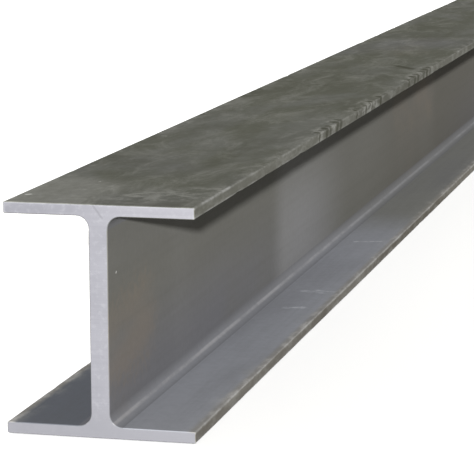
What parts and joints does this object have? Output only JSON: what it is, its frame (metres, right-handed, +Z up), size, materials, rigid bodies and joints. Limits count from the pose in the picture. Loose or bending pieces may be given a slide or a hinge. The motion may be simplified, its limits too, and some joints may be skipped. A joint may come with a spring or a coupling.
{
  "type": "steel h-beam",
  "caption": "Hot-rolled steel H-beam, a straight length of wide-flange section sawn square at both ends, used as a column, beam or pile.",
  "frame": {"origin": "middle of the underside of the bottom flange, half way along the bar, on the floor", "axes": "+Y along the bar, +X across the flanges, +Z up through the web from the bottom flange to the top flange"},
  "size_m": [0.2, 6, 0.24],
  "materials": {
    "steel": "matte mill scale as rolled, with bright sawn ends"
  },
  "bodies": {
    "root": {"h_beam": "steel"}
  },
  "joints": []
}
